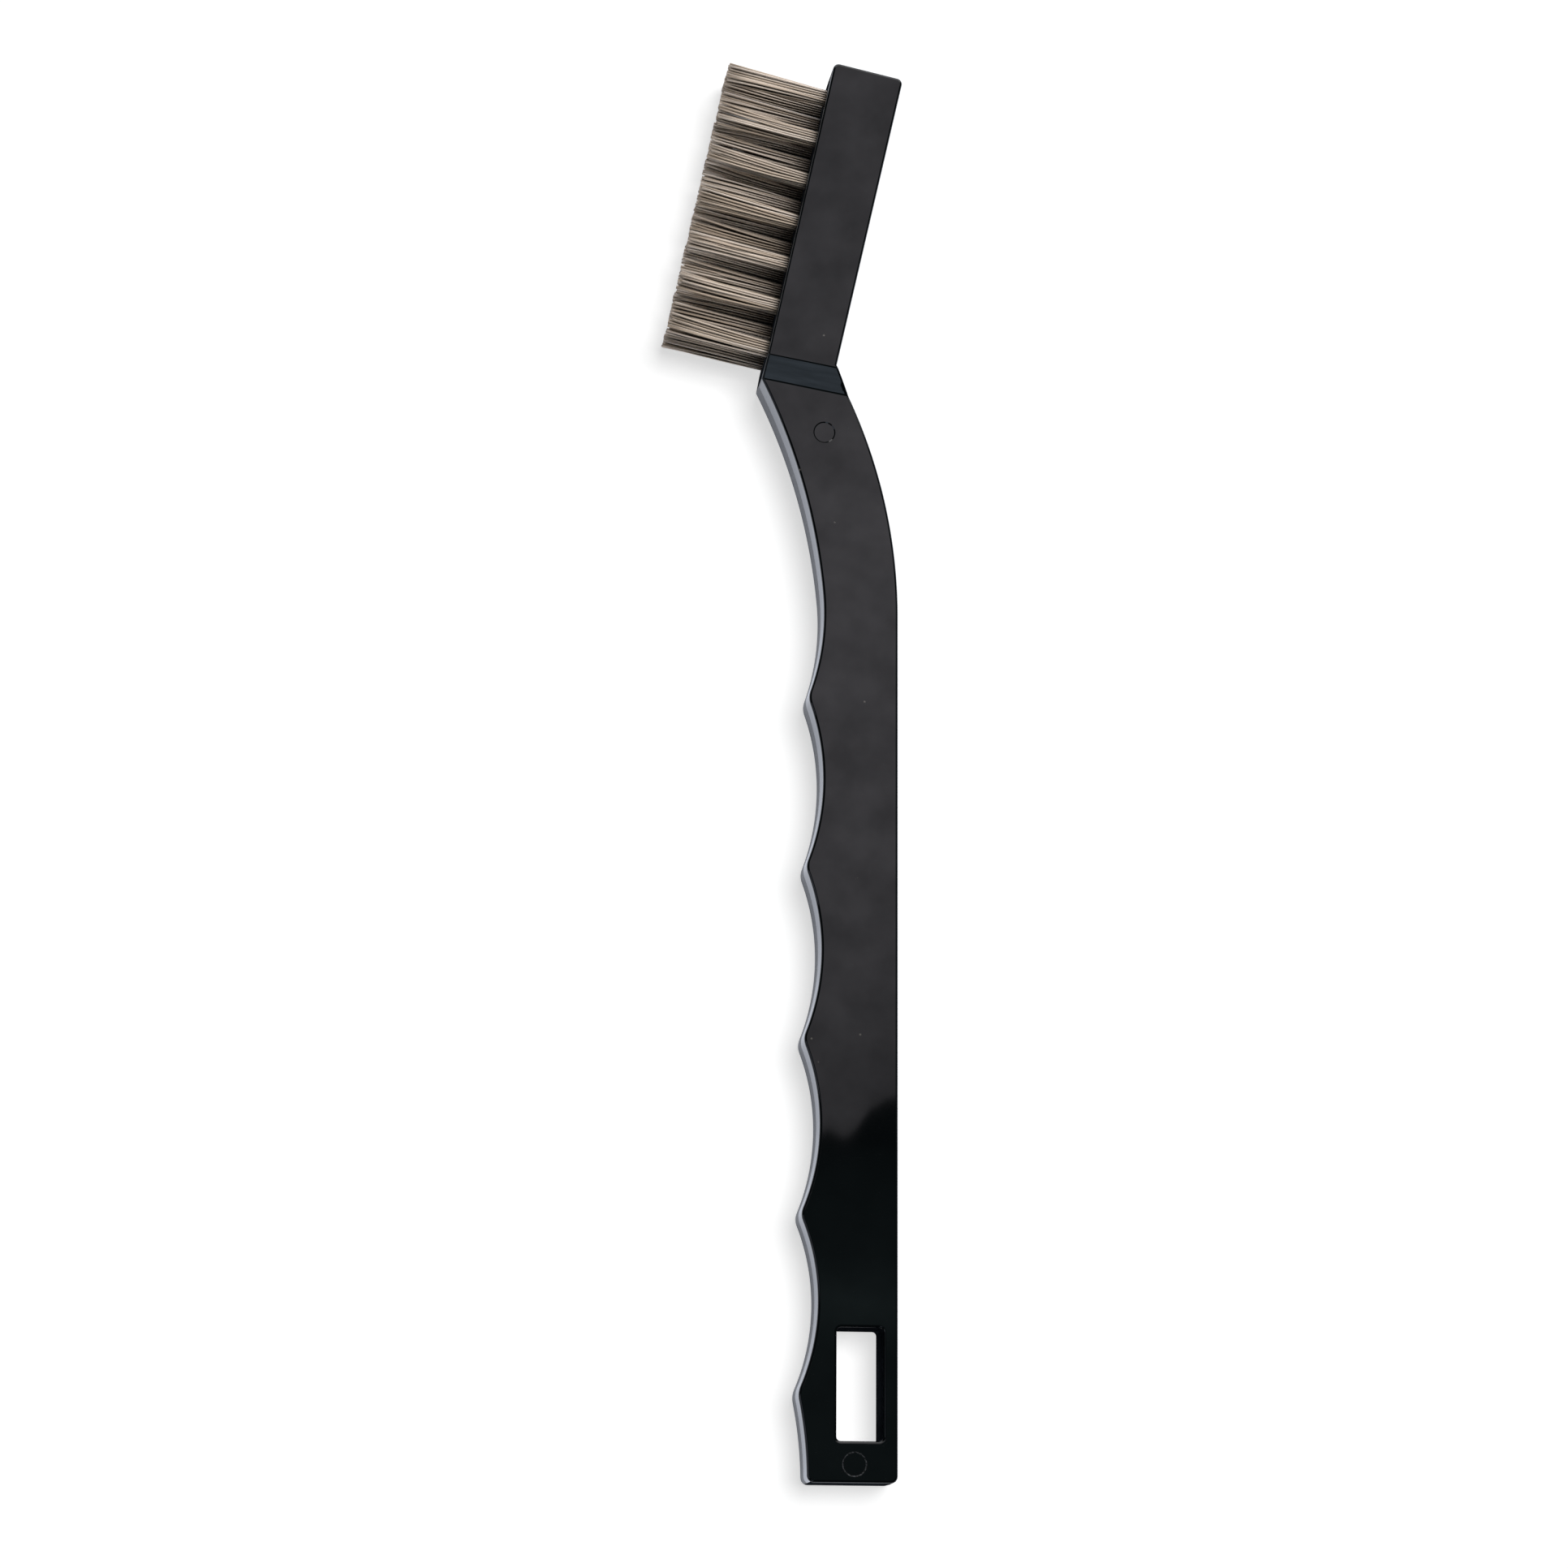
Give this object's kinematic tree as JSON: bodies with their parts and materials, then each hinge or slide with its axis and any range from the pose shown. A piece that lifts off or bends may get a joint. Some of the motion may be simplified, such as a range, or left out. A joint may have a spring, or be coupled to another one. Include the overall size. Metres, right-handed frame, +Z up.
{
  "type": "wire cleaning brush",
  "caption": "Hand brush with a bent neck, a scalloped finger grip, a hang slot and staggered tufts of stainless wire, for scrubbing out drilled holes, slots and corners.",
  "frame": {"origin": "middle of the footprint of the brush lying on its broad side, on the plane of the head's underside", "axes": "+X from the bristle tips towards the spine, +Y from the butt towards the head end, +Z up through the thickness"},
  "size_m": [0.0308, 0.1838, 0.0106],
  "materials": {
    "black_plastic": "injection moulded, semi-gloss black",
    "stainless_wire": "drawn stainless wire, warm grey",
    "staple_wire": "flat drawn wire"
  },
  "bodies": {
    "root": {"handle": "black_plastic", "tuft_row_lower": "stainless_wire", "tuft_row_middle": "stainless_wire", "tuft_row_upper": "stainless_wire", "staple_lower_1": "staple_wire", "staple_lower_2": "staple_wire", "staple_lower_3": "staple_wire", "staple_lower_4": "staple_wire", "staple_lower_5": "staple_wire", "staple_lower_6": "staple_wire", "staple_lower_7": "staple_wire", "staple_middle_1": "staple_wire", "staple_middle_2": "staple_wire", "staple_middle_3": "staple_wire", "staple_middle_4": "staple_wire", "staple_middle_5": "staple_wire", "staple_middle_6": "staple_wire", "staple_upper_1": "staple_wire", "staple_upper_2": "staple_wire", "staple_upper_3": "staple_wire", "staple_upper_4": "staple_wire", "staple_upper_5": "staple_wire", "staple_upper_6": "staple_wire", "staple_upper_7": "staple_wire"}
  },
  "joints": []
}
